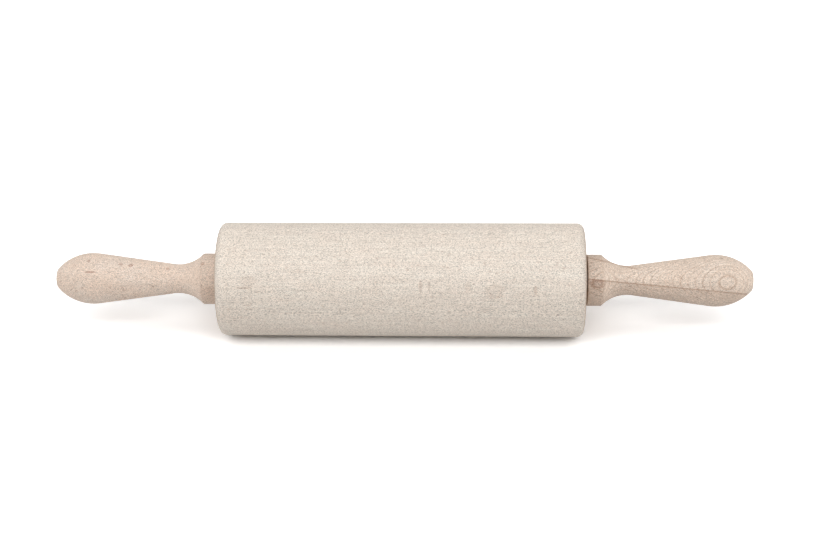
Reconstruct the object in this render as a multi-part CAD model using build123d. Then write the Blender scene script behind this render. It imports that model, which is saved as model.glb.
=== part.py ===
from build123d import *
from math import acos, asin, atan2, degrees, hypot, radians, tan
import os

# Rolling pin with a turned handle at each end, in millimetres.
# X runs along the axis that the barrel turns about, Z is up, and the origin is the barrel's centre.

# Barrel
barrel_diameter = 70.0
barrel_length = 224.0
barrel_rim_radius = 4.0
barrel_bore_diameter = 12.0

# Open space between each end of the barrel and the collar of the handle beside it
end_gap = 2.0

# Handles, with places measured from the collar's face beside the barrel
handle_length = 101.0
collar_diameter = 31.6
collar_length = 9.0
collar_edge_chamfer = 0.4
neck_diameter = 18.0
neck_place = 24.8
neck_sweep_radius = 20.0
belly_diameter = 31.8
belly_place = 78.5
belly_arc_radius = 30.0
nose_radius = 2.5

# Axle, a steel rod that both handles are pressed onto
axle_diameter = 8.0
axle_grip_length = 50.0
axle_tip_chamfer = 1.0
flute_count = 8
flute_radius = 0.6
flute_depth = 0.35
flute_length = 38.0
drill_point_angle = 118.0

# Bushes, pressed into both ends of the barrel
bush_length = 22.0
bush_body_diameter = 16.0
bush_flange_diameter = 24.0
bush_flange_thickness = 2.0
bush_lead_chamfer = 0.6
rib_count = 6
rib_height = 0.5
rib_width = 2.0
running_clearance = 0.05
bearing_land_length = 6.0
grease_relief_depth = 0.4
flange_side_clearance = 0.2

# Thrust washers, let into the collars
washer_bore_diameter = 8.4
washer_diameter = 16.0
washer_thickness = 1.6
washer_edge_chamfer = 0.3
washer_stands_proud = 1.0
washer_side_clearance = 0.1

# Worked out from the sizes above
barrel_end = barrel_length / 2
axle_radius = axle_diameter / 2
axle_length = barrel_length + 2 * (end_gap + axle_grip_length)
bush_socket_radius = bush_body_diameter / 2 + rib_height
washer_seat_depth = washer_thickness - washer_stands_proud


def turned(outline):
    """A solid turned about X from points given as (distance along X, distance from the axis)."""
    return revolve(make_face(Polyline(*outline, close=True)), Axis.X)


def corners_at(section, distance_from_axis):
    """The corners of a half section that lie at one distance from the axis."""
    return [v for v in section.vertices() if abs(v.Y - distance_from_axis) < 1e-6]


def make_barrel():
    """The beech roller: rounded rims, a through bore, and a stepped socket for a bush at each end."""
    outer = barrel_diameter / 2
    bore = barrel_bore_diameter / 2
    recess = bush_flange_diameter / 2 + flange_side_clearance
    socket_floor = barrel_end - bush_length
    recess_floor = barrel_end - bush_flange_thickness
    right_half = [
        (socket_floor, bore),
        (socket_floor, bush_socket_radius),
        (recess_floor, bush_socket_radius),
        (recess_floor, recess),
        (barrel_end, recess),
        (barrel_end, outer),
    ]
    left_half = [(-x, r) for x, r in reversed(right_half)]
    section = make_face(Polyline(*right_half, *left_half, close=True))
    return revolve(fillet(corners_at(section, outer), barrel_rim_radius), Axis.X)


def taper_angle():
    """The slope, in degrees, of the straight taper that is tangent to the neck and belly arcs."""
    along = belly_place - neck_place
    across = (neck_diameter - belly_diameter) / 2 + neck_sweep_radius + belly_arc_radius
    reach = hypot(along, across)
    return degrees(atan2(along, across) - acos((neck_sweep_radius + belly_arc_radius) / reach))


def handle_section():
    """Half of the handle's length section: collar, cove, neck, taper, belly and blunt nose."""
    slope = taper_angle()
    nose_drop = belly_arc_radius - nose_radius
    nose_angle = degrees(asin((handle_length - belly_place - nose_radius) / nose_drop))
    collar_corner = (collar_length, collar_diameter / 2)
    neck = (neck_place, neck_diameter / 2)
    belly_centre = (belly_place, belly_diameter / 2 - belly_arc_radius)

    collar = Polyline((0, 0), (0, collar_diameter / 2), collar_corner)
    cove = TangentArc(neck, collar_corner, tangent=(-1, 0))
    sweep = JernArc(neck, (1, 0), neck_sweep_radius, slope)
    belly = CenterArc(belly_centre, belly_arc_radius, 90 + slope, -(slope + nose_angle))
    taper = Line(sweep @ 1, belly @ 0)
    nose = JernArc(belly @ 1, belly % 1, nose_radius, nose_angle - 90)
    end_disc = Polyline(nose @ 1, ((nose @ 1).X, 0), (0, 0))
    section = make_face(collar + cove + sweep + taper + belly + nose + end_disc)
    return chamfer(corners_at(section, collar_diameter / 2), collar_edge_chamfer)


def handle_hollow():
    """What is bored out of a handle: the washer's seat and the axle's blind bore with its drill point."""
    seat = washer_diameter / 2 + washer_side_clearance
    point_depth = axle_radius / tan(radians(drill_point_angle / 2))
    return turned(
        [
            (0, 0),
            (0, seat),
            (washer_seat_depth, seat),
            (washer_seat_depth, axle_radius),
            (axle_grip_length, axle_radius),
            (axle_grip_length + point_depth, 0),
        ]
    )


def make_handle():
    """One beech handle, lying along +X with its collar's face at the origin."""
    return revolve(handle_section(), Axis.X) - handle_hollow()


def make_axle():
    """The steel rod, chamfered at both tips and fluted where the handles grip it."""
    tip = axle_length / 2
    shoulder = tip - axle_tip_chamfer
    tip_radius = axle_radius - axle_tip_chamfer
    rod = turned(
        [
            (-tip, 0),
            (-tip, tip_radius),
            (-shoulder, axle_radius),
            (shoulder, axle_radius),
            (tip, tip_radius),
            (tip, 0),
        ]
    )
    around = PolarLocations(axle_radius + flute_radius - flute_depth, flute_count)
    flutes = Sketch() + [place * Circle(flute_radius) for place in around]
    for side in (-1, 1):
        rod -= extrude(Plane.YZ.offset(side * tip) * flutes, -side * flute_length)
    return rod


def make_bush():
    """One flanged polyamide bush, with its flange's face at the origin and its body along -X."""
    body_radius = bush_body_diameter / 2
    body_length = bush_length - bush_flange_thickness
    spokes = PolarLocations(body_radius, rib_count)
    ribs = [place * Rectangle(2 * rib_height, rib_width) for place in spokes]
    ribbed_section = (Circle(body_radius) + ribs) & Circle(bush_socket_radius)
    body = extrude(Plane.YZ.offset(-bush_length) * ribbed_section, body_length)
    body = chamfer(body.edges().group_by(Axis.X)[0], bush_lead_chamfer)
    flange = turned(
        [
            (-bush_flange_thickness, 0),
            (-bush_flange_thickness, bush_flange_diameter / 2),
            (0, bush_flange_diameter / 2),
            (0, 0),
        ]
    )
    land = axle_radius + running_clearance
    relief = land + grease_relief_depth
    bore = turned(
        [
            (-bush_length, 0),
            (-bush_length, land),
            (bearing_land_length - bush_length, land),
            (bearing_land_length - bush_length, relief),
            (-bearing_land_length, relief),
            (-bearing_land_length, land),
            (0, land),
            (0, 0),
        ]
    )
    return body + flange - bore


def make_washer():
    """One steel thrust washer, with its rubbing face at the origin and its thickness along +X."""
    return turned(
        [
            (0, washer_bore_diameter / 2),
            (0, washer_diameter / 2 - washer_edge_chamfer),
            (washer_edge_chamfer, washer_diameter / 2),
            (washer_thickness, washer_diameter / 2),
            (washer_thickness, washer_bore_diameter / 2),
        ]
    )


def at_both_ends(name, shape, distance):
    """Two named copies of a shape: as it is at the right end, and turned round at the left end."""
    return {
        f"right_{name}": Pos(distance, 0, 0) * shape,
        f"left_{name}": Rot(0, 0, 180) * Pos(distance, 0, 0) * shape,
    }


def make_parts():
    """Every piece of the rolling pin in its place, by name."""
    collar_face = barrel_end + end_gap
    return {
        "barrel": make_barrel(),
        "axle_rod": make_axle(),
        **at_both_ends("handle", make_handle(), collar_face),
        **at_both_ends("bush", make_bush(), barrel_end),
        **at_both_ends("thrust_washer", make_washer(), collar_face - washer_stands_proud),
    }


os.makedirs("parts", exist_ok=True)
for name, shape in make_parts().items():
    export_step(shape, f"parts/{name}.step")
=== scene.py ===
"""A beech rolling pin with turned handles, on a plain white floor in soft studio light.

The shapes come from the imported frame. This script gives every piece its finish, and sets up the floor,
the lights and the camera. Lengths are in metres, and in millimetres where a name or a comment says so.
"""

import logging
import math
from dataclasses import dataclass, field
from enum import Enum
from functools import partial, reduce
from typing import Union

import bpy
from mathutils import Matrix, Vector


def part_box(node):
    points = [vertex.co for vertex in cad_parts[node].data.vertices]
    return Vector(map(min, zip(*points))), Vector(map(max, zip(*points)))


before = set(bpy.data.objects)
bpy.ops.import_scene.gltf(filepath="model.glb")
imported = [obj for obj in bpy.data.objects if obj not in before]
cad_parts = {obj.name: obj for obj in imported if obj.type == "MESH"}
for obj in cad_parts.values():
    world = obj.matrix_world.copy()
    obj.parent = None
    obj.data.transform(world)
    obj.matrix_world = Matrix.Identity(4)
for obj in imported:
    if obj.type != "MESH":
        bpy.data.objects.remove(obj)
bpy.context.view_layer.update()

log = logging.getLogger("rolling_pin")

MM = 0.001
Colour = tuple[float, float, float, float]
Socket = bpy.types.NodeSocket
Outputs = bpy.types.NodeOutputs
Tree = bpy.types.ShaderNodeTree
Material = bpy.types.Material
Feed = Union[Socket, float, tuple[float, ...]]

WHITE: Colour = (1.0, 1.0, 1.0, 1.0)

# Steps from one seed to another, for patterns that lie in one piece of wood and must not line up
FINE_RAY_STEP = 7.3
SPECK_STEP = 3.1
WARMTH_STEP = 31.7

# How far from the pith, in millimetres, the angle round it is turned into a length
RAY_RADIUS = 50.0
# How strongly the faintest ray shows beside the strongest
FAINTEST_RAY = 0.3
# How strongly the faintest year's late wood shows, and how much more the strongest year adds
FAINTEST_YEAR = 0.6
YEAR_SPREAD = 0.6
# How far past its end a zone of darker wood fades out, in millimetres
ZONE_FADE = 5.0
# How much of a slow patch's depth goes to its tone, and how much of a speck's depth to its warmth
PATCH_TONE = 0.6
SPECK_WARMTH = 0.8


def srgb(red: int, green: int, blue: int) -> Colour:
    """Turns a display colour of 0 to 255 into the linear colour that the shaders use.

    Args:
        red: Red, 0 to 255.
        green: Green, 0 to 255.
        blue: Blue, 0 to 255.

    Returns:
        Linear red, green, blue and an alpha of 1.
    """

    def linear(value: int) -> float:
        """One channel, made linear by the display standard's own curve."""
        share = value / 255
        return share / 12.92 if share <= 0.04045 else ((share + 0.055) / 1.055) ** 2.4

    return (linear(red), linear(green), linear(blue), 1.0)


class Side(Enum):
    """The two ends of the pin."""

    LEFT = "left"
    RIGHT = "right"


class Channel(Enum):
    """The kinds of socket that a shared effect has."""

    VECTOR = "NodeSocketVector"
    VALUE = "NodeSocketFloat"


class Net:
    """A short way to lay nodes into one shader tree."""

    def __init__(self, tree: Tree) -> None:
        """Keeps the tree that the nodes go into."""
        self.tree = tree

    def node(self, kind: str, **settings: object) -> bpy.types.Node:
        """Adds a node.

        Args:
            kind: The node's type, without its leading ShaderNode.
            settings: Properties of the node to set.

        Returns:
            The new node.
        """
        made = self.tree.nodes.new("ShaderNode" + kind)
        for name, value in settings.items():
            setattr(made, name, value)
        return made

    def feed(self, socket: Socket, value: Feed) -> None:
        """Links a socket to an input, or sets the input's own value.

        Args:
            socket: The input.
            value: An output to link, or a number or vector to set.
        """
        if isinstance(value, bpy.types.NodeSocket):
            self.tree.links.new(value, socket)
        else:
            socket.default_value = value

    def fill(self, node: bpy.types.Node, **values: Feed) -> Outputs:
        """Feeds a node's inputs by their names.

        Args:
            node: The node.
            values: What goes into its inputs, with an underscore for each space in a name.

        Returns:
            The node's outputs.
        """
        for name, value in values.items():
            self.feed(node.inputs[name.replace("_", " ")], value)
        return node.outputs

    def fill_in_order(self, node: bpy.types.Node, *values: Feed) -> Socket:
        """Feeds a node's inputs in their order.

        Args:
            node: The node.
            values: What goes into its first inputs.

        Returns:
            The node's first output.
        """
        for socket, value in zip(node.inputs, values):
            self.feed(socket, value)
        return node.outputs[0]

    def math(self, operation: str, *values: Feed) -> Socket:
        """One arithmetic step.

        Args:
            operation: The Math node's operation.
            values: The one, two or three values that it takes.

        Returns:
            The result.
        """
        return self.fill_in_order(self.node("Math", operation=operation), *values)

    def total(self, *values: Feed) -> Socket:
        """All the values added."""
        return reduce(partial(self.math, "ADD"), values)

    def product(self, *values: Feed) -> Socket:
        """All the values multiplied."""
        return reduce(partial(self.math, "MULTIPLY"), values)

    def most(self, *values: Feed) -> Feed:
        """The largest of the values."""
        return reduce(partial(self.math, "MAXIMUM"), values)

    def less(self, value: Feed, taken: Feed) -> Socket:
        """A value with another taken from it."""
        return self.math("SUBTRACT", value, taken)

    def weighted(self, base: float, *parts: tuple[Feed, float]) -> Feed:
        """A base value with more added to it.

        Args:
            base: The base value.
            parts: Each thing that adds to it, and its weight.

        Returns:
            The sum.
        """
        return reduce(lambda so_far, part: self.math("MULTIPLY_ADD", *part, so_far), parts, base)

    def swaying(self, noise: Socket, reach: float) -> Socket:
        """Noise of 0 to 1 made to sway to both sides of 0, over the given reach."""
        return self.weighted(-reach / 2, (noise, reach))

    def hypotenuse(self, first: Socket, second: Socket) -> Socket:
        """How long a step is that has these two parts at right angles."""
        return self.math("SQRT", self.total(self.product(first, first), self.product(second, second)))

    def rise(self, value: Feed, start: Feed, full: Feed) -> Socket:
        """A smooth step up from 0, where the value reaches start, to 1, where it reaches full."""
        step = self.node("MapRange", interpolation_type="SMOOTHSTEP", clamp=True)
        return self.fill_in_order(step, value, start, full, 0.0, 1.0)

    def fall(self, value: Feed, start: Feed, gone: Feed) -> Socket:
        """A smooth step down from 1, where the value reaches start, to 0, where it reaches gone."""
        step = self.node("MapRange", interpolation_type="SMOOTHSTEP", clamp=True)
        return self.fill_in_order(step, value, start, gone, 1.0, 0.0)

    def split(self, vector: Socket) -> tuple[Socket, Socket, Socket]:
        """The three parts of a vector."""
        parts = self.fill(self.node("SeparateXYZ"), Vector=vector)
        return parts[0], parts[1], parts[2]

    def scaled(self, vector: Socket, factor: Feed) -> Socket:
        """A vector or a colour times a factor."""
        return self.fill(self.node("VectorMath", operation="SCALE"), Vector=vector, Scale=factor)["Vector"]

    def turned(self, first: Socket, second: Socket, angle: Feed) -> tuple[Socket, Socket]:
        """The same place by two lines at right angles that are turned by an angle.

        Args:
            first: How far along the first line the place lies.
            second: How far along the second line.
            angle: How far the lines turn, from the first toward the second, in radians.

        Returns:
            How far along the two turned lines the place lies.
        """
        cosine, sine = self.math("COSINE", angle), self.math("SINE", angle)
        return (
            self.total(self.product(first, cosine), self.product(second, sine)),
            self.less(self.product(second, cosine), self.product(first, sine)),
        )

    def spot(self, parts: tuple[Feed, ...], sizes: tuple[Feed, ...], seed: Feed) -> Socket:
        """A place that counts in the sizes of a pattern instead of millimetres.

        Args:
            parts: The three parts of the place.
            sizes: How large the pattern is along each of them.
            seed: Moves the place to another part of the pattern.

        Returns:
            The counted place.
        """
        along, across, up = (self.math("DIVIDE", part, size) for part, size in zip(parts, sizes))
        return self.fill_in_order(self.node("CombineXYZ"), self.total(along, seed), across, up)

    def noise(
        self,
        place: Socket,
        seed: Feed,
        length: Feed,
        width: Feed,
        detail: float = 2.0,
        roughness: float = 0.5,
    ) -> Socket:
        """Soft noise of 0 to 1.

        Args:
            place: Where to read it, in millimetres.
            seed: Picks another part of it.
            length: How long one patch is along the axle, in millimetres.
            width: How wide one patch is the other way, in millimetres.
            detail: How many finer layers it has.
            roughness: How strong the finer layers are.

        Returns:
            The noise.
        """
        spot = self.spot(self.split(place), (length, width, width), seed)
        made = self.node("TexNoise")
        return self.fill(made, Vector=spot, Scale=1.0, Detail=detail, Roughness=roughness)["Fac"]

    def tint(self, share: Feed, base: Feed, other: Feed) -> Socket:
        """A colour part of the way from one colour to another.

        Args:
            share: How far, from 0 to 1.
            base: The first colour.
            other: The second colour.

        Returns:
            The mixed colour.
        """
        made = self.node("Mix", data_type="RGBA", clamp_factor=True)
        # A Mix node has sockets for every kind of value: its colours are inputs 6 and 7 and output 2
        for number, value in ((0, share), (6, base), (7, other)):
            self.feed(made.inputs[number], value)
        return made.outputs[2]

    def coated(self, base: Feed, *coats: tuple[Feed, float, Colour]) -> Socket:
        """A colour with others laid over it in turn.

        Args:
            base: The colour at the bottom.
            coats: For each coat, where it lies, how strongly, and its colour.

        Returns:
            The colour on top.
        """
        for mask, strength, colour in coats:
            base = self.tint(self.product(mask, strength), base, colour)
        return base


class SharedEffects:
    """The shader node groups that the finishes share, each built once."""

    def __init__(self) -> None:
        """Builds every effect."""
        self.growth_rings = self._growth_rings()
        self.wood_rays = self._wood_rays()
        self.fibre = self._fibre()
        self.patina = self._patina()
        self.turning_lines = self._turning_lines()
        self.rim_wear = self._rim_wear()
        self.figure_mark = self._figure_mark()
        self.dark_zone = self._dark_zone()

    @staticmethod
    def _open(
        name: str, inputs: tuple[str, ...], outputs: tuple[str, ...]
    ) -> tuple[Net, Outputs, bpy.types.Node]:
        """Starts a group. Every group takes a place and a seed.

        Args:
            name: The group's name.
            inputs: The names of its other inputs, which are all values.
            outputs: The names of its outputs, which are all values.

        Returns:
            The net to build in, the group's inputs to read, and the node to fill with its outputs.
        """
        tree = bpy.data.node_groups.new(name, "ShaderNodeTree")
        kinds = {"Place": Channel.VECTOR} | dict.fromkeys((*inputs, "Seed"), Channel.VALUE)
        for label, channel in kinds.items():
            tree.interface.new_socket(name=label, in_out="INPUT", socket_type=channel.value)
        for label in outputs:
            tree.interface.new_socket(name=label, in_out="OUTPUT", socket_type=Channel.VALUE.value)
        return Net(tree), tree.nodes.new("NodeGroupInput").outputs, tree.nodes.new("NodeGroupOutput")

    def _growth_rings(self) -> Tree:
        """Yearly rings round a far pith, as they stand inside the wood.

        Returns:
            A group that gives the dark late wood, a tone for each year, and where a point lies outward
            from the pith and around it, in millimetres.
        """
        net, take, give = self._open(
            "growth_rings",
            ("Growth Angle", "Pith Distance", "Rise", "Drift", "Ring Width", "Wander"),
            ("Late Wood", "Year Tone", "Outward", "Around"),
        )
        along, across, up = net.split(take["Place"])
        ahead, aside = net.turned(across, up, take["Growth Angle"])
        ahead = net.less(net.total(ahead, take["Pith Distance"]), net.product(along, take["Rise"]))
        aside = net.less(aside, net.product(along, take["Drift"]))
        outward = net.hypotenuse(ahead, aside)
        slow = net.noise(take["Place"], take["Seed"], length=48.0, width=17.0, detail=1.0)
        quick = net.noise(take["Place"], take["Seed"], length=11.0, width=5.0)
        sway = net.total(net.swaying(slow, reach=2.0), net.swaying(quick, reach=0.6))
        years = net.math("DIVIDE", net.total(outward, net.product(sway, take["Wander"])), take["Ring Width"])
        season = net.math("FRACT", years)
        darkening = net.rise(season, start=0.66, full=0.90)
        tone = net.node("TexWhiteNoise", noise_dimensions="1D")
        net.fill(
            give,
            Late_Wood=net.product(darkening, net.fall(season, start=0.94, gone=1.0)),
            Year_Tone=net.fill(tone, W=net.total(net.math("FLOOR", years), take["Seed"]))["Value"],
            Outward=outward,
            Around=net.product(net.math("ARCTAN2", aside, ahead), RAY_RADIUS),
        )
        return net.tree

    def _wood_rays(self) -> Tree:
        """Rays of beech: thin upright sheets from the pith outward, which show as dashes or as flecks.

        Returns:
            A group that gives a mask of the rays.
        """
        net, take, give = self._open(
            "wood_rays", ("Outward", "Around", "Length", "Depth", "Thickness", "Share"), ("Ray",)
        )
        along, _, _ = net.split(take["Place"])
        parts = (along, take["Outward"], take["Around"])
        spot = net.spot(parts, (take["Length"], take["Depth"], take["Thickness"]), take["Seed"])
        cells = net.node("TexVoronoi", voronoi_dimensions="3D", feature="F1")
        cell = net.fill(cells, Vector=spot, Scale=1.0, Randomness=1.0)
        chance, strength, _ = net.split(cell["Color"])
        shown = net.math("LESS_THAN", chance, take["Share"])
        body = net.fall(cell["Distance"], start=0.12, gone=0.36)
        weight = net.weighted(FAINTEST_RAY, (strength, 1.0 - FAINTEST_RAY))
        net.fill(give, Ray=net.product(body, shown, weight))
        return net.tree

    def _fibre(self) -> Tree:
        """Fine lines along the grain, and the open pores between them.

        Returns:
            A group that gives the lines and the pores.
        """
        net, take, give = self._open("fibre", ("Length", "Width"), ("Line", "Pore"))
        place, seed = take["Place"], take["Seed"]
        lines = net.noise(place, seed, take["Length"], take["Width"], detail=3.0, roughness=0.6)
        pores = net.noise(place, seed, length=1.1, width=0.11, detail=1.0)
        net.fill(
            give,
            Line=net.rise(lines, start=0.32, full=0.68),
            Pore=net.rise(pores, start=0.60, full=0.74),
        )
        return net.tree

    def _patina(self) -> Tree:
        """Slow changes of tone and of warmth over a surface.

        Returns:
            A group that gives the tone and the warmth.
        """
        net, take, give = self._open("patina", ("Length", "Width"), ("Tone", "Warmth"))
        place, length, width = take["Place"], take["Length"], take["Width"]
        tone = net.noise(place, take["Seed"], length, width, detail=3.0, roughness=0.55)
        warmth = net.noise(place, net.total(take["Seed"], WARMTH_STEP), length, width)
        net.fill(
            give,
            Tone=net.rise(tone, start=0.28, full=0.72),
            Warmth=net.rise(warmth, start=0.28, full=0.72),
        )
        return net.tree

    def _turning_lines(self) -> Tree:
        """Faint lines that run round a turned piece, left by the tool and the sanding.

        Returns:
            A group that gives the lines.
        """
        net, take, give = self._open("turning_lines", ("Spacing",), ("Line",))
        lines = net.noise(take["Place"], take["Seed"], take["Spacing"], width=22.0, roughness=0.65)
        net.fill(give, Line=lines)
        return net.tree

    def _rim_wear(self) -> Tree:
        """Wear along an edge that runs round the axle's line at one distance from the pin's middle.

        Returns:
            A group that gives the wear.
        """
        net, take, give = self._open("rim_wear", ("Edge", "Reach"), ("Wear",))
        along, _, _ = net.split(take["Place"])
        gap = net.math("ABSOLUTE", net.less(net.math("ABSOLUTE", along), take["Edge"]))
        patchy = net.noise(take["Place"], take["Seed"], length=2.2, width=2.2, detail=3.0, roughness=0.6)
        reach = net.product(take["Reach"], net.total(patchy, 0.5))
        net.fill(give, Wear=net.fall(gap, start=0.0, gone=reach))
        return net.tree

    def _figure_mark(self) -> Tree:
        """One small mark of the wood's figure: a fleck, a short bar or a closed ring.

        Returns:
            A group that gives a mask of the mark.
        """
        net, take, give = self._open(
            "figure_mark",
            ("Look Angle", "Along", "Height", "Half Length", "Half Height", "Hollow"),
            ("Mark",),
        )
        along, across, up = net.split(take["Place"])
        height, away = net.turned(up, across, take["Look Angle"])
        aside = net.math("DIVIDE", net.less(along, take["Along"]), take["Half Length"])
        above = net.math("DIVIDE", net.less(height, take["Height"]), take["Half Height"])
        ragged = net.noise(take["Place"], take["Seed"], length=1.6, width=1.1, detail=3.0, roughness=0.6)
        reach = net.total(net.hypotenuse(aside, above), net.swaying(ragged, reach=1.3))
        inside = net.product(net.fall(reach, start=0.35, gone=0.75), take["Hollow"])
        mark = net.less(net.fall(reach, start=0.8, gone=1.2), inside)
        in_front = net.math("LESS_THAN", away, 0.0)
        net.fill(give, Mark=net.product(net.most(mark, 0.0), in_front))
        return net.tree

    def _dark_zone(self) -> Tree:
        """Wood of another tone beyond a slanting flat boundary, as where a board holds darker heartwood; on a
        piece's lower side the tone can also be painted shade.

        Returns:
            A group that gives the zone, and the thin line along its boundary.
        """
        net, take, give = self._open(
            "dark_zone", ("Look Angle", "Start", "Height", "Slope", "Way", "End"), ("Zone", "Line")
        )
        along, across, up = net.split(take["Place"])
        height, _ = net.turned(up, across, take["Look Angle"])
        climb = net.product(net.less(along, take["Start"]), take["Slope"])
        waver = net.noise(take["Place"], take["Seed"], length=9.0, width=3.0)
        border = net.total(take["Height"], climb, net.swaying(waver, reach=0.8))
        beyond = net.product(net.less(height, border), take["Way"])
        kept = net.fall(along, take["End"], net.total(take["End"], ZONE_FADE))
        line = net.fall(net.math("ABSOLUTE", beyond), start=0.15, gone=0.75)
        zone = net.rise(beyond, start=-0.3, full=0.5)
        net.fill(give, Zone=net.product(zone, kept), Line=net.product(line, kept))
        return net.tree


class Surface(Net):
    """One material's net, with its shader, the place in the piece in millimetres, and a seed."""

    def __init__(self, name: str, seed: float = 0.0) -> None:
        """Starts the material.

        Args:
            name: The material's name.
            seed: Picks another part of every pattern in it.
        """
        self.material = bpy.data.materials.new(name)
        self.material.use_nodes = True
        super().__init__(self.material.node_tree)
        self.shader = next(node for node in self.tree.nodes if node.type == "BSDF_PRINCIPLED")
        self.place = self.scaled(self.node("TexCoord").outputs["Object"], 1 / MM)
        self.seed = seed

    def effect(self, group: Tree, **values: Feed) -> Outputs:
        """Places a shared effect on the surface.

        Args:
            group: The effect.
            values: Its own inputs, with an underscore for each space in a name.

        Returns:
            Its outputs.
        """
        made = self.node("Group", node_tree=group, label=group.name)
        return self.fill(made, **{"Place": self.place, "Seed": self.seed, **values})

    def worn(self, group: Tree, edges: tuple[float, ...], reach: float) -> Feed:
        """The wear of all of a piece's edges together.

        Args:
            group: The shared rim wear.
            edges: Where the edges are, in millimetres from the pin's middle.
            reach: How far the wear goes, in millimetres.

        Returns:
            The wear.
        """
        wear = (
            self.effect(group, Edge=edge, Reach=reach, Seed=self.seed + number)["Wear"]
            for number, edge in enumerate(edges)
        )
        return self.most(*wear)

    def relief(self, height: Feed, strength: float, depth: float) -> None:
        """Raises and lowers the surface a little.

        Args:
            height: The height, 0 to 1.
            strength: How much of it the light shows.
            depth: How high 1 is, in millimetres.
        """
        bump = self.fill(self.node("Bump"), Strength=strength, Distance=depth * MM, Height=height)
        self.fill(self.shader, Normal=bump["Normal"])


@dataclass(frozen=True)
class GrowthPattern:
    """How the tree's rings lie in a piece of wood.

    Attributes:
        growth_angle: The direction, in degrees round the axle from the back, in which the tree grew.
        pith_distance: How far the pith lies from the axle's line, in millimetres.
        rise: How fast the rings climb along the piece.
        drift: How fast the rings shift sideways along the piece.
        ring_width: One year, in millimetres.
        wander: How far the rings sway, in millimetres.
        seed: Picks another piece of wood.
    """

    growth_angle: float
    pith_distance: float
    rise: float
    drift: float
    ring_width: float
    wander: float
    seed: float


@dataclass(frozen=True)
class FigureMark:
    """One small mark of the wood's figure, placed as it seems from the front and above.

    Attributes:
        along: Its place along the axle, in millimetres.
        height: How high above the axle's line it seems, in millimetres.
        half_length: Half its size along the axle, in millimetres.
        half_height: Half its size the other way, in millimetres.
        strength: How dark it is.
        hollow: 0 for a filled mark and 1 for a ring.
    """

    along: float
    height: float
    half_length: float
    half_height: float
    strength: float
    hollow: float = 0.0


@dataclass(frozen=True)
class DarkZone:
    """Wood of a darker tone beyond a slanting boundary, placed as it seems from the front and above.

    Attributes:
        start: Where along the axle the boundary's height is given, in millimetres.
        height: The boundary's height above the axle's line there, in millimetres.
        slope: How fast the boundary climbs along the axle.
        way: 1 for a zone above the boundary and -1 for one below it.
        end: Where along the axle the zone ends, in millimetres.
        tone: How dark the zone is.
        line: How dark its boundary is.
    """

    start: float
    height: float
    slope: float
    way: float
    end: float
    tone: float
    line: float


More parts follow.
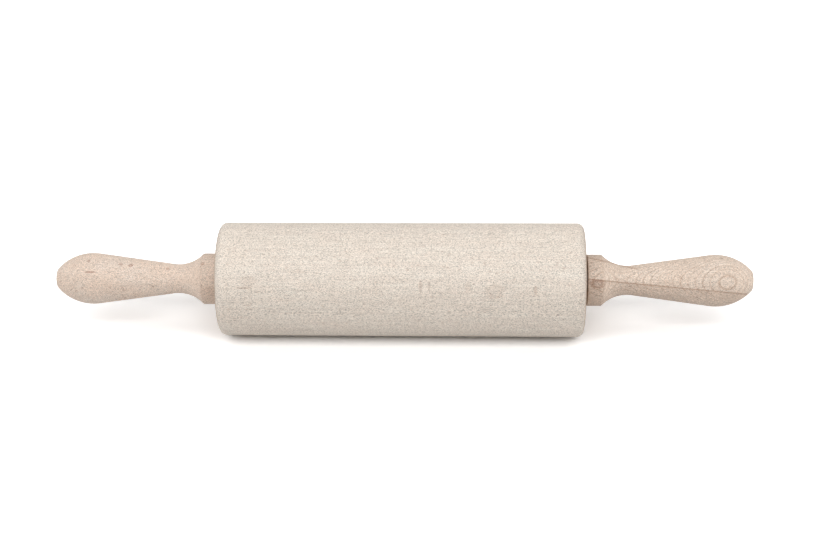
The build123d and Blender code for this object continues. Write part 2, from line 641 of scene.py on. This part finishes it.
@dataclass(frozen=True)
class BeechFinish:
    """Bare beech, turned and fine sanded.

    Attributes:
        name: The material's name.
        early: The colour of the early wood.
        late: The colour of the late wood.
        ray: The colour of the rays.
        warm: The colour that warm patches lean to.
        end_grain: The colour where the fibres end.
        growth: How the rings lie.
        ring_depth: How strongly the late wood shows.
        line_depth: How strongly the fine lines show.
        ray_depth: How strongly the rays show.
        patch_depth: How strongly the slow patches show.
        speck_depth: How strongly the fine specks show.
        slope_painted_light: How much paler the wood is painted on steep slopes such as the coves, a painted
            light that stands in for light from the sides.
        edges: Places of worn edges, in millimetres from the pin's middle.
        turning_spacing: How far apart the turning lines are, in millimetres.
        marks: Small marks of the wood's figure.
        zones: Zones of darker wood.
        look_angle: How far above the front horizon the marks and zones are seen from, in degrees.
        fine_ray_share: How strongly the fine rays show beside the broad ones.
        speck_dark: How much a full speck darkens the wood, as a share of speck_depth.
        speck_lift: How much the wood between the specks is lifted, as a share of speck_depth.
    """

    name: str
    early: Colour
    late: Colour
    ray: Colour
    warm: Colour
    end_grain: Colour
    growth: GrowthPattern
    ring_depth: float
    line_depth: float
    ray_depth: float
    patch_depth: float
    speck_depth: float
    slope_painted_light: float
    edges: tuple[float, ...]
    turning_spacing: float
    marks: tuple[FigureMark, ...] = ()
    zones: tuple[DarkZone, ...] = ()
    look_angle: float = 35.0
    fine_ray_share: float = 0.55
    speck_dark: float = 1.5
    speck_lift: float = 0.43

    def marked(self, net: Surface, effects: SharedEffects) -> Feed:
        """All the marks of the figure together.

        Args:
            net: The material's net.
            effects: The shared node groups.

        Returns:
            How dark they are.
        """
        shades: list[Feed] = [0.0]
        for number, mark in enumerate(self.marks):
            placed = net.effect(
                effects.figure_mark,
                Look_Angle=math.radians(self.look_angle),
                Along=mark.along,
                Height=mark.height,
                Half_Length=mark.half_length,
                Half_Height=mark.half_height,
                Hollow=mark.hollow,
                Seed=net.seed + number,
            )
            shades.append(net.product(placed["Mark"], mark.strength))
        return net.most(*shades)

    def zoned(self, net: Surface, effects: SharedEffects) -> Feed:
        """All the darker zones together, with the lines along their boundaries.

        Args:
            net: The material's net.
            effects: The shared node groups.

        Returns:
            How dark they are.
        """
        shades: list[Feed] = [0.0]
        for zone in self.zones:
            placed = net.effect(
                effects.dark_zone,
                Look_Angle=math.radians(self.look_angle),
                Start=zone.start,
                Height=zone.height,
                Slope=zone.slope,
                Way=zone.way,
                End=zone.end,
            )
            shades += [net.product(placed["Zone"], zone.tone), net.product(placed["Line"], zone.line)]
        return net.most(*shades)

    def rings(self, net: Surface, effects: SharedEffects) -> Outputs:
        """The tree's growth rings in this piece of wood.

        Args:
            net: The material's net.
            effects: The shared node groups.

        Returns:
            The outputs of the growth rings' group.
        """
        growth = self.growth
        return net.effect(
            effects.growth_rings,
            Growth_Angle=math.radians(growth.growth_angle),
            Pith_Distance=growth.pith_distance,
            Rise=growth.rise,
            Drift=growth.drift,
            Ring_Width=growth.ring_width,
            Wander=growth.wander,
        )

    def rays(self, net: Surface, effects: SharedEffects, rings: Outputs) -> Feed:
        """The broad and the fine rays together.

        Args:
            net: The material's net.
            effects: The shared node groups.
            rings: The growth rings that the rays cross.

        Returns:
            A mask of the rays.
        """
        lay = partial(net.effect, effects.wood_rays, Outward=rings["Outward"], Around=rings["Around"])
        broad = lay(Length=3.6, Depth=12.0, Thickness=0.95, Share=0.42)["Ray"]
        fine = lay(Length=1.9, Depth=5.0, Thickness=0.5, Share=0.85, Seed=net.seed + FINE_RAY_STEP)["Ray"]
        return net.most(broad, net.product(fine, self.fine_ray_share))

    def material(self, effects: SharedEffects) -> Material:
        """Builds the material.

        Args:
            effects: The shared node groups.

        Returns:
            The finished material.
        """
        net = Surface(self.name, self.growth.seed)
        rings = self.rings(net, effects)
        rays = self.rays(net, effects, rings)
        fibre = net.effect(effects.fibre, Length=30.0, Width=0.75)
        patches = net.effect(effects.patina, Length=19.0, Width=11.0)
        specks = net.effect(effects.patina, Length=0.85, Width=0.3, Seed=net.seed + SPECK_STEP)
        turning = net.effect(effects.turning_lines, Spacing=self.turning_spacing)["Line"]
        late = net.product(rings["Late Wood"], net.weighted(FAINTEST_YEAR, (rings["Year Tone"], YEAR_SPREAD)))
        # The more a surface faces along the axle, the more of the fibres' ends it shows
        facing, _, _ = net.split(net.node("TexCoord").outputs["Normal"])
        steepness = net.math("ABSOLUTE", facing)
        ends = net.rise(steepness, start=0.72, full=1.0)
        worn = net.worn(effects.rim_wear, self.edges, reach=1.3)

        colour = net.coated(
            self.early,
            (late, self.ring_depth, self.late),
            (net.less(1.0, fibre["Line"]), self.line_depth, self.late),
            (fibre["Pore"], self.line_depth, self.ray),
            (patches["Warmth"], self.patch_depth, self.warm),
            (patches["Tone"], self.patch_depth * PATCH_TONE, self.late),
            (specks["Warmth"], self.speck_depth * SPECK_WARMTH, self.warm),
            (self.zoned(net, effects), 1.0, self.late),
            (rays, self.ray_depth, self.ray),
            (self.marked(net, effects), 1.0, self.ray),
            (ends, 0.75, self.end_grain),
            (worn, 0.16, self.end_grain),
        )
        # Squared, so that most specks stay faint and few are dark
        dark = net.product(specks["Tone"], specks["Tone"])
        lift, drop = self.speck_lift * self.speck_depth, -self.speck_dark * self.speck_depth
        # Painted light: the steep slopes of the coves are made paler, standing in for light that falls on
        # them from the sides
        slope_light_lift = net.weighted(1.0, (net.rise(steepness, start=0.2, full=0.65), self.slope_painted_light))
        brightness = net.product(net.weighted(1.0 + lift, (dark, drop)), slope_light_lift)
        net.fill(
            net.shader,
            Base_Color=net.scaled(colour, brightness),
            Roughness=net.weighted(0.56, (fibre["Line"], 0.10), (rays, -0.12), (ends, 0.12), (worn, -0.06)),
            Specular_IOR_Level=0.5,
        )
        height = net.weighted(
            0.0, (fibre["Line"], 0.45), (late, 0.25), (fibre["Pore"], -0.6), (rays, -0.35), (turning, 0.5)
        )
        net.relief(height, strength=0.6, depth=0.04)
        return net.material


@dataclass(frozen=True)
class SteelFinish:
    """Bright steel with fine lines from drawing or grinding, and dull patches.

    Attributes:
        name: The material's name.
        bright: The colour of the clean metal.
        dull: The colour of the dull patches.
        line_length: How long the fine lines are along the axle, in millimetres.
        line_width: How far apart they are, in millimetres.
        edges: Places of worn edges, in millimetres from the pin's middle.
        seed: Moves the pattern.
    """

    name: str
    bright: Colour
    dull: Colour
    line_length: float
    line_width: float
    edges: tuple[float, ...]
    seed: float

    def material(self, effects: SharedEffects) -> Material:
        """Builds the material.

        Args:
            effects: The shared node groups.

        Returns:
            The finished material.
        """
        net = Surface(self.name, self.seed)
        lines = net.effect(effects.fibre, Length=self.line_length, Width=self.line_width)["Line"]
        patina = net.effect(effects.patina, Length=10.0, Width=6.0)
        worn = net.worn(effects.rim_wear, self.edges, reach=0.4)
        net.fill(
            net.shader,
            Base_Color=net.coated(self.bright, (patina["Tone"], 0.55, self.dull), (worn, 0.5, self.bright)),
            Metallic=1.0,
            Roughness=net.weighted(0.24, (patina["Tone"], 0.14), (lines, 0.10), (worn, -0.08)),
        )
        net.relief(lines, strength=0.35, depth=0.01)
        return net.material


@dataclass(frozen=True)
class PolyamideFinish:
    """Natural moulded polyamide: cloudy, a little glossy, with rubbed edges.

    Attributes:
        name: The material's name.
        milky: The clear, pale colour.
        aged: The yellower colour.
        edges: Places of worn edges, in millimetres from the pin's middle.
        seed: Moves the pattern.
    """

    name: str
    milky: Colour
    aged: Colour
    edges: tuple[float, ...]
    seed: float

    def material(self, effects: SharedEffects) -> Material:
        """Builds the material.

        Args:
            effects: The shared node groups.

        Returns:
            The finished material.
        """
        net = Surface(self.name, self.seed)
        patina = net.effect(effects.patina, Length=7.0, Width=4.0)
        grain = net.noise(net.place, net.seed, length=0.35, width=0.35, detail=3.0, roughness=0.6)
        worn = net.worn(effects.rim_wear, self.edges, reach=0.6)
        net.fill(
            net.shader,
            Base_Color=net.coated(self.milky, (patina["Warmth"], 0.6, self.aged), (worn, 0.4, self.aged)),
            Roughness=net.weighted(0.34, (grain, 0.2), (worn, -0.1)),
        )
        net.relief(grain, strength=0.3, depth=0.015)
        return net.material


def dress(node: str, material: Material) -> None:
    """Gives a piece of the frame its finish.

    Args:
        node: The piece's name.
        material: Its material.
    """
    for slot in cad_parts[node].material_slots:
        slot.material = material
    low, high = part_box(node)
    size = " x ".join(f"{(b - a) / MM:.1f}" for a, b in zip(low, high))
    log.info("%s: %s mm, %s", node, size, material.name)


@dataclass
class Roller:
    """The barrel with the bush in each of its ends.

    Attributes:
        barrel_end: Where the barrel ends, in millimetres from its middle.
        bush_flange: The thickness of a bush's flange, in millimetres.
    """

    barrel_end: float = 112.0
    bush_flange: float = 2.0
    wood: BeechFinish = field(init=False)
    bush: PolyamideFinish = field(init=False)

    def __post_init__(self) -> None:
        """Works out the finishes from the sizes."""
        self.wood = BeechFinish(
            name="barrel_beech",
            early=srgb(223, 217, 206),
            late=srgb(192, 178, 166),
            ray=srgb(160, 131, 112),
            warm=srgb(217, 202, 188),
            end_grain=srgb(178, 152, 128),
            growth=GrowthPattern(
                growth_angle=156.0,
                pith_distance=62.0,
                rise=0.002,
                drift=0.01,
                ring_width=1.7,
                wander=0.5,
                seed=3.0,
            ),
            ring_depth=0.14,
            line_depth=0.55,
            ray_depth=0.42,
            patch_depth=0.32,
            speck_depth=0.58,
            slope_painted_light=0.0,
            edges=(self.barrel_end,),
            turning_spacing=0.9,
            # Each mark: along, height, half length, half height, strength and, for a ring, hollow
            marks=(
                FigureMark(12.9, -4.2, 1.2, 3.4, 0.30),
                FigureMark(17.9, -4.0, 0.8, 2.7, 0.26),
                FigureMark(41.1, -4.5, 1.7, 3.2, 0.17),
                FigureMark(56.9, -7.0, 5.4, 4.4, 0.19, 0.5),
                FigureMark(81.4, -6.1, 1.0, 2.8, 0.38),
                FigureMark(-90.5, -1.4, 4.6, 3.2, 0.18),
                FigureMark(-93.5, -5.5, 4.4, 0.5, 0.45),
                FigureMark(-91.7, -16.0, 2.4, 0.4, 0.35),
                FigureMark(-63.2, 4.2, 10.0, 0.7, 0.22),
            ),
        )
        self.bush = PolyamideFinish(
            name="bush_polyamide",
            milky=srgb(226, 222, 208),
            aged=srgb(206, 194, 168),
            edges=(self.barrel_end, self.barrel_end - self.bush_flange),
            seed=5.0,
        )

    def build(self, effects: SharedEffects) -> None:
        """Dresses the barrel and both bushes.

        Args:
            effects: The shared node groups.
        """
        dress("barrel", self.wood.material(effects))
        bush = self.bush.material(effects)
        for side in Side:
            dress(f"{side.value}_bush", bush)


@dataclass
class HandleSet:
    """Both turned handles with the washers in their collars.

    Attributes:
        collar_face: Where the collars start, in millimetres from the pin's middle.
        collar_length: How long a collar is, in millimetres.
        washer_proud: How far a washer stands out of its collar, in millimetres.
    """

    collar_face: float = 114.0
    collar_length: float = 9.0
    washer_proud: float = 1.0
    woods: dict[Side, BeechFinish] = field(init=False)
    washer: SteelFinish = field(init=False)

    def __post_init__(self) -> None:
        """Works out the finishes from the sizes."""
        edges = (self.collar_face, self.collar_face + self.collar_length)
        self.woods = {
            Side.LEFT: BeechFinish(
                name="left_handle_beech",
                early=srgb(221, 210, 199),
                late=srgb(190, 168, 150),
                ray=srgb(152, 110, 90),
                warm=srgb(216, 189, 168),
                end_grain=srgb(176, 146, 122),
                growth=GrowthPattern(
                    growth_angle=95.0,
                    pith_distance=48.0,
                    rise=0.02,
                    drift=0.01,
                    ring_width=1.7,
                    wander=0.6,
                    seed=11.0,
                ),
                ring_depth=0.12,
                line_depth=0.50,
                ray_depth=0.46,
                patch_depth=0.36,
                speck_depth=0.55,
                slope_painted_light=0.09,
                edges=edges,
                turning_spacing=0.7,
                # Each mark: along, height, half length, half height and strength
                marks=(
                    FigureMark(-191.3, 3.8, 3.4, 0.6, 0.60),
                    FigureMark(-193.2, 10.7, 1.1, 0.8, 0.45),
                    FigureMark(-173.4, 8.8, 1.5, 0.9, 0.42),
                    FigureMark(-167.2, 8.0, 1.5, 0.9, 0.52),
                    FigureMark(-144.6, 6.0, 1.1, 0.8, 0.45),
                    FigureMark(-122.2, 9.3, 1.2, 1.2, 0.40),
                    FigureMark(-119.2, -8.7, 4.6, 4.8, 0.10),
                ),
            ),
            Side.RIGHT: BeechFinish(
                name="right_handle_beech",
                early=srgb(224, 213, 201),
                late=srgb(166, 138, 118),
                ray=srgb(148, 112, 92),
                warm=srgb(213, 189, 168),
                end_grain=srgb(172, 144, 120),
                growth=GrowthPattern(
                    growth_angle=149.0,
                    pith_distance=85.2,
                    rise=-0.187,
                    drift=0.0,
                    ring_width=1.43,
                    wander=0.22,
                    seed=23.0,
                ),
                ring_depth=0.62,
                line_depth=0.42,
                ray_depth=0.40,
                patch_depth=0.30,
                speck_depth=0.55,
                slope_painted_light=0.17,
                edges=edges,
                turning_spacing=0.7,
                # The patch on the collar: along, height, half length, half height, strength and hollow
                marks=(FigureMark(119.4, -2.2, 4.5, 2.9, 0.60, 0.5),),
                # Each zone: start, height, slope, way, end, tone and line
                zones=(
                    # The first zone darkens the handle's lower side: its boundary line is wood figure, and
                    # its tone is partly darker wood and partly painted shade
                    DarkZone(123.0, -0.3, -0.091, -1.0, 300.0, 0.24, 0.75),
                    DarkZone(113.8, 13.9, -0.225, 1.0, 142.0, 0.16, 0.70),
                ),
            ),
        }
        self.washer = SteelFinish(
            name="washer_steel",
            bright=srgb(206, 208, 210),
            dull=srgb(158, 160, 160),
            line_length=1.2,
            line_width=1.2,
            edges=(self.collar_face - self.washer_proud,),
            seed=41.0,
        )

    def build(self, effects: SharedEffects) -> None:
        """Dresses both handles and both washers.

        Args:
            effects: The shared node groups.
        """
        washer = self.washer.material(effects)
        for side in Side:
            dress(f"{side.value}_handle", self.woods[side].material(effects))
            dress(f"{side.value}_thrust_washer", washer)


@dataclass
class Axle:
    """The steel rod that both handles are pressed onto.

    Attributes:
        tip: Where the rod ends, in millimetres from the pin's middle.
    """

    tip: float = 164.0
    steel: SteelFinish = field(init=False)

    def __post_init__(self) -> None:
        """Works out the finish from the size."""
        self.steel = SteelFinish(
            name="axle_steel",
            bright=srgb(202, 202, 200),
            dull=srgb(150, 149, 146),
            line_length=30.0,
            line_width=0.16,
            edges=(self.tip,),
            seed=53.0,
        )

    def build(self, effects: SharedEffects) -> None:
        """Dresses the rod.

        Args:
            effects: The shared node groups.
        """
        dress("axle_rod", self.steel.material(effects))


@dataclass(frozen=True)
class SoftPanel:
    """One large flat light that hangs round the pin and faces it.

    Attributes:
        name: The light's name.
        elevation: Its height in degrees, counted from the front horizon over the top to the back.
        distance: How far it is from the pin.
        size: Its width and depth.
        radiance: How bright it is.
    """

    name: str
    elevation: float
    distance: float
    size: tuple[float, float]
    radiance: float

    def hang(self) -> None:
        """Makes the light."""
        lamp = bpy.data.lights.new(self.name, "AREA")
        lamp.shape = "RECTANGLE"
        lamp.size, lamp.size_y = self.size
        lamp.energy = self.radiance * math.pi * self.size[0] * self.size[1]
        panel = bpy.data.objects.new(self.name, lamp)
        angle = math.radians(self.elevation)
        panel.location = (0.0, -self.distance * math.cos(angle), self.distance * math.sin(angle))
        panel.rotation_euler = (math.pi / 2 - angle, 0.0, 0.0)
        panel.visible_camera = False
        bpy.context.scene.collection.objects.link(panel)


@dataclass
class Studio:
    """A plain white floor under soft lights.

    Attributes:
        floor_height: The height that the barrel rests on.
        floor_size: How wide the floor is.
        floor_white: How much light the floor gives back.
        floor_shown: How bright the floor is shown, so that it burns out to white as in the picture.
        glow_start: How far from the pin's middle the floor starts to glow by itself, beyond the lights.
        glow_full: How far from there it is as white as the room.
        room: How bright the rest of the room is.
        panels: The lights.
    """

    floor_height: float = -0.035
    floor_size: float = 6.0
    floor_white: float = 0.8
    floor_shown: float = 1.28
    glow_start: float = 0.75
    glow_full: float = 1.5
    room: float = 0.13
    panels: tuple[SoftPanel, ...] = (
        SoftPanel("front_soft_light", elevation=53.0, distance=1.5, size=(5.0, 0.68), radiance=3.24),
        SoftPanel("overhead_soft_light", elevation=94.0, distance=1.5, size=(5.0, 0.66), radiance=2.13),
        SoftPanel("bright_wall_behind", elevation=155.0, distance=2.8, size=(5.0, 0.95), radiance=1.5),
    )

    def build(self) -> None:
        """Makes the floor, the lights and the room."""
        self._floor()
        for panel in self.panels:
            panel.hang()
        bpy.context.scene.world = self._room()
        view = bpy.context.scene.view_settings
        view.view_transform = "Standard"
        view.look = "None"
        log.info("studio: floor at %.1f mm, %d soft lights", self.floor_height / MM, len(self.panels))

    def _room(self) -> bpy.types.World:
        """Makes the room round the floor, which looks white and gives little light.

        Returns:
            The room.
        """
        world = bpy.data.worlds.new("room")
        world.use_nodes = True
        net = Net(world.node_tree)
        seen = net.node("LightPath").outputs["Is Camera Ray"]
        net.fill(world.node_tree.nodes["Background"], Color=WHITE, Strength=net.most(seen, self.room))
        return world

    def _floor(self) -> None:
        """Lays the floor."""
        half = self.floor_size / 2
        mesh = bpy.data.meshes.new("floor")
        corners = [(-half, -half), (half, -half), (half, half), (-half, half)]
        mesh.from_pydata([(x, y, self.floor_height) for x, y in corners], [], [(0, 1, 2, 3)])
        floor = bpy.data.objects.new("floor", mesh)
        bpy.context.scene.collection.objects.link(floor)
        surface = Surface("white_floor")
        seen = surface.node("LightPath").outputs["Is Camera Ray"]
        white, shown = ((level, level, level, 1.0) for level in (self.floor_white, self.floor_shown))
        away = surface.fill(surface.node("VectorMath", operation="LENGTH"), Vector=surface.place)["Value"]
        glow = surface.rise(away, self.glow_start / MM, self.glow_full / MM)
        surface.fill(
            surface.shader,
            Base_Color=surface.tint(seen, white, shown),
            Emission_Color=WHITE,
            Emission_Strength=surface.product(glow, seen),
            Roughness=0.9,
            Specular_IOR_Level=0.0,
        )
        mesh.materials.append(surface.material)


@dataclass
class PhotoCamera:
    """The camera of the picture: in front of the pin, above it, and a little right of its middle.

    Attributes:
        distance: From the axle's line, square to it, to the camera.
        elevation: How far above the front horizon it stands, in degrees.
        stand_right: How far right of the barrel's middle it stands.
        turn_left: How far it looks to the left of square, in degrees.
        roll: How far it is turned about its own line of sight, in degrees.
        lens: The focal length, in millimetres.
        sensor_width: The width that the focal length goes with, in millimetres.
        frame_width: The picture's width in its own units, for the shifts.
        middle_left: How far the line of sight lies left of the picture's middle, in the same units.
        middle_down: How far it lies below the picture's middle.
    """

    distance: float = 1.0
    elevation: float = 35.0
    stand_right: float = 0.040
    turn_left: float = 3.0
    roll: float = 0.22
    lens: float = 71.09
    sensor_width: float = 36.0
    frame_width: float = 818.0
    middle_left: float = 27.6
    middle_down: float = 5.4

    def build(self) -> None:
        """Makes the camera and gives it to the scene."""
        data = bpy.data.cameras.new("photo_camera")
        data.lens = self.lens
        data.sensor_width = self.sensor_width
        data.shift_x = self.middle_left / self.frame_width
        data.shift_y = self.middle_down / self.frame_width
        camera = bpy.data.objects.new("photo_camera", data)
        angle, turn = math.radians(self.elevation), math.radians(self.turn_left)
        along = Vector((1.0, 0.0, 0.0))
        outward = Vector((0.0, -math.cos(angle), math.sin(angle)))
        camera.location = along * self.stand_right + outward * self.distance
        right = along * math.cos(turn) - outward * math.sin(turn)
        back = along * math.sin(turn) + outward * math.cos(turn)
        upright = Matrix((right, back.cross(right), back)).transposed()
        camera.rotation_euler = (upright @ Matrix.Rotation(math.radians(self.roll), 3, "Z")).to_euler()
        bpy.context.scene.collection.objects.link(camera)
        bpy.context.scene.camera = camera
        log.info("camera: %.0f mm lens, %.0f degrees up", self.lens, self.elevation)


def main() -> None:
    """Builds the studio, the camera and every sub-assembly, in that order."""
    logging.basicConfig(level=logging.INFO, format="%(name)s: %(message)s")
    effects = SharedEffects()
    PhotoCamera().build()
    Studio().build()
    Roller().build(effects)
    HandleSet().build(effects)
    Axle().build(effects)


if __name__ == "__main__":
    main()
